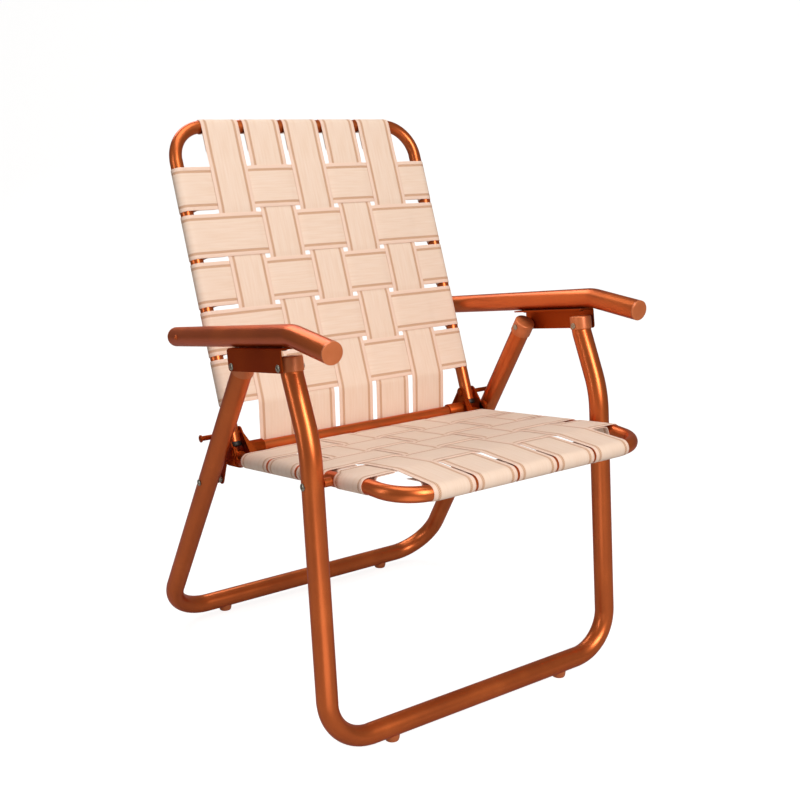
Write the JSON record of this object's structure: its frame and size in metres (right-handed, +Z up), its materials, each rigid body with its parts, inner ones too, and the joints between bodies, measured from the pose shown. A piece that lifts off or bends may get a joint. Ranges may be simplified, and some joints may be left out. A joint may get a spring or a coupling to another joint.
{
  "type": "folding webbed lawn chair",
  "caption": "Folding lawn chair of bent copper-coloured tube with flat arms and a cream woven webbing seat and back.",
  "frame": {"origin": "on the floor, under the middle of the open chair", "axes": "+Z up; the chair faces -Y; +X is towards the sitter's left hand"},
  "size_m": [0.5452, 0.6108, 0.8019],
  "materials": {
    "copper_paint": "glossy metallic copper paint on aluminium tube",
    "webbing": "woven plastic webbing with stitched edges",
    "bright_steel": "plated rivets and screws",
    "copper_plastic": "moulded feet",
    "black_plastic": "black end plugs"
  },
  "bodies": {
    "front_legs": {"front_leg_frame": "copper_paint", "front_leg_cap_right": "copper_paint", "front_leg_cap_left": "copper_paint", "front_foot_right": "copper_plastic", "front_foot_left": "copper_plastic"},
    "arms": {"arm_tube_right": "copper_paint", "arm_tube_left": "copper_paint", "arm_front_cap_right": "copper_paint", "arm_front_cap_left": "copper_paint", "arm_rear_cap_right": "copper_paint", "arm_rear_cap_left": "copper_paint", "arm_bracket_right": "copper_paint", "arm_bracket_left": "copper_paint", "front_bracket_screw_right": "bright_steel", "front_bracket_screw_left": "bright_steel", "rear_bracket_screw_right": "bright_steel", "rear_bracket_screw_left": "bright_steel", "front_leg_rivet_right": "bright_steel", "front_leg_rivet_left": "bright_steel", "rear_leg_rivet_right": "bright_steel", "rear_leg_rivet_left": "bright_steel"},
    "rear_legs": {"rear_leg_frame": "copper_paint", "rear_leg_cap_right": "copper_paint", "rear_leg_cap_left": "copper_paint", "rear_foot_right": "copper_plastic", "rear_foot_left": "copper_plastic", "link_rivet_right": "bright_steel", "link_rivet_left": "bright_steel"},
    "seat": {"seat_frame": "copper_paint", "cross_bar": "copper_paint", "hinge_bracket_right": "copper_paint", "hinge_bracket_left": "copper_paint", "back_pivot_pin_right": "copper_paint", "back_pivot_pin_left": "copper_paint", "seat_pivot_rivet_right": "bright_steel", "seat_pivot_rivet_left": "bright_steel", "seat_long_strap_1": "webbing", "seat_long_strap_2": "webbing", "seat_long_strap_3": "webbing", "seat_long_strap_4": "webbing", "seat_long_strap_5": "webbing", "seat_cross_strap_1": "webbing", "seat_cross_strap_2": "webbing", "seat_cross_strap_3": "webbing", "seat_cross_strap_4": "webbing"},
    "links": {"seat_link_right": "copper_paint", "seat_link_left": "copper_paint"},
    "back": {"back_frame": "copper_paint", "back_end_plug_right": "black_plastic", "back_end_plug_left": "black_plastic", "back_long_strap_1": "webbing", "back_long_strap_2": "webbing", "back_long_strap_3": "webbing", "back_long_strap_4": "webbing", "back_long_strap_5": "webbing", "back_cross_strap_1": "webbing", "back_cross_strap_2": "webbing", "back_cross_strap_3": "webbing", "back_cross_strap_4": "webbing", "back_cross_strap_5": "webbing"}
  },
  "joints": [
    {"name": "frame_fold", "type": "hinge", "parent": "front_legs", "child": "arms", "pos_m": [0, -0.11786, 0.507], "axis": [-1, 0, 0], "range_deg": [0, 85]},
    {"name": "rear_leg_fold", "type": "hinge", "parent": "arms", "child": "rear_legs", "pos_m": [0, 0.01114, 0.4855], "axis": [1, 0, 0], "range_deg": [0, 48.61]},
    {"name": "seat_fold", "type": "hinge", "parent": "front_legs", "child": "seat", "pos_m": [0, -0.16429, 0.3665], "axis": [-1, 0, 0], "range_deg": [0, 67.14]},
    {"name": "link_fold", "type": "hinge", "parent": "seat", "child": "links", "pos_m": [0, 0.08621, 0.34152], "axis": [-1, 0, 0], "range_deg": [0, 86.31]},
    {"name": "back_fold", "type": "hinge", "parent": "seat", "child": "back", "pos_m": [0, 0.1157, 0.36099], "axis": [1, 0, 0], "range_deg": [0, 103]}
  ],
  "couplings": [
    {"joint": "rear_leg_fold", "follows": "frame_fold", "ratio": 0.57176},
    {"joint": "seat_fold", "follows": "frame_fold", "ratio": 0.78978},
    {"joint": "link_fold", "follows": "frame_fold", "ratio": 1.0153}
  ]
}
